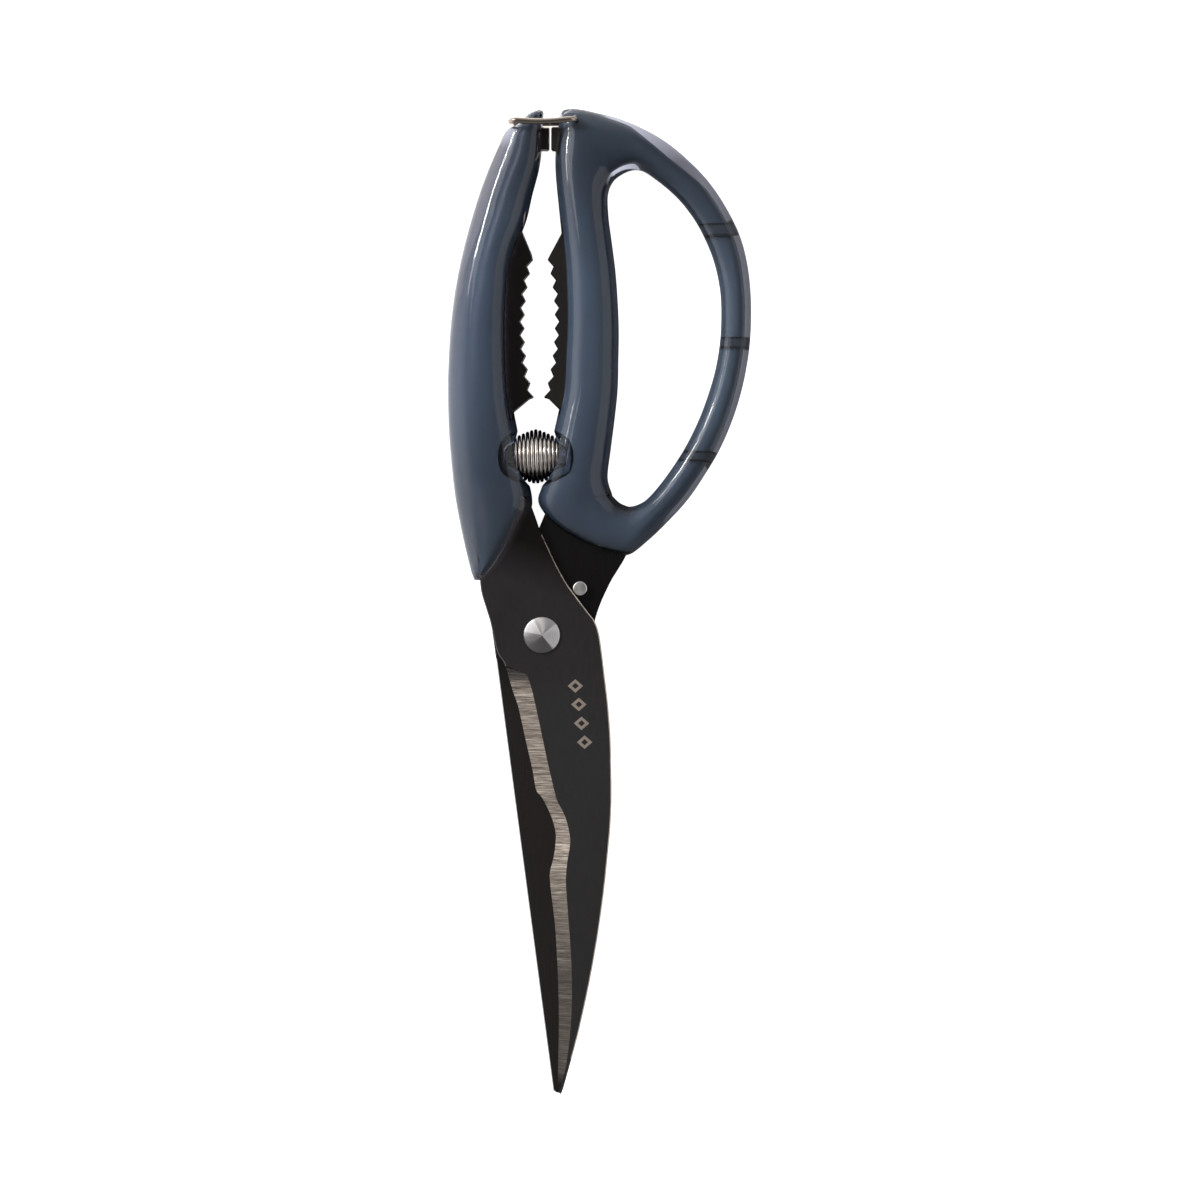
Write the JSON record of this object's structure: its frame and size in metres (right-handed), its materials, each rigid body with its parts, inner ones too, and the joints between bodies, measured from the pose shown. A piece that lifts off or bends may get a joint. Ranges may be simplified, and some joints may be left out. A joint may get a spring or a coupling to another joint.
{
  "type": "poultry shears",
  "caption": "Spring-loaded poultry shears with a wavy bypass blade, toothed cracker jaws, a slim grip, a closed finger loop and a wire locking bail.",
  "frame": {"origin": "pivot axis at the flat underside of the pivot nut", "axes": "+Y towards the handles, -Y towards the blade tips, +Z towards the front blade and the screw head, +X towards the finger loop"},
  "size_m": [0.0789, 0.2559, 0.016],
  "materials": {
    "black_steel": "satin",
    "steel": "turned",
    "spring_steel": "polished",
    "clear_shell": "gloss",
    "slate_core": "gloss",
    "dark_locator": "satin",
    "low_friction_plastic": "matte"
  },
  "bodies": {
    "left_half": {"front_blade": "black_steel", "left_grip_shell": "clear_shell", "left_grip_core": "slate_core", "pivot_screw": "steel", "pivot_nut": "steel", "wave_washer": "spring_steel", "blade_washer": "low_friction_plastic", "return_spring": "spring_steel"},
    "right_half": {"back_blade": "black_steel", "stop_pin": "steel", "right_grip_shell": "clear_shell", "right_grip_core": "slate_core", "loop_core_upper": "slate_core", "loop_core_lower": "slate_core", "core_locators": "dark_locator"},
    "bail": {"locking_bail": "spring_steel"}
  },
  "joints": [
    {"name": "blade_pivot", "type": "hinge", "parent": "left_half", "child": "right_half", "pos_m": [0, 0, 0.0046], "axis": [0, 0, -1], "range_deg": [0, 28], "deforming": ["return_spring"]},
    {"name": "bail_swing", "type": "hinge", "parent": "right_half", "child": "bail", "pos_m": [0.0086, 0.1336, 0.0046], "axis": [0, 0, -1], "range_deg": [0, 176]}
  ],
  "couplings": [
    {"joint": "bail_swing", "follows": "blade_pivot", "ratio": 6.28}
  ]
}
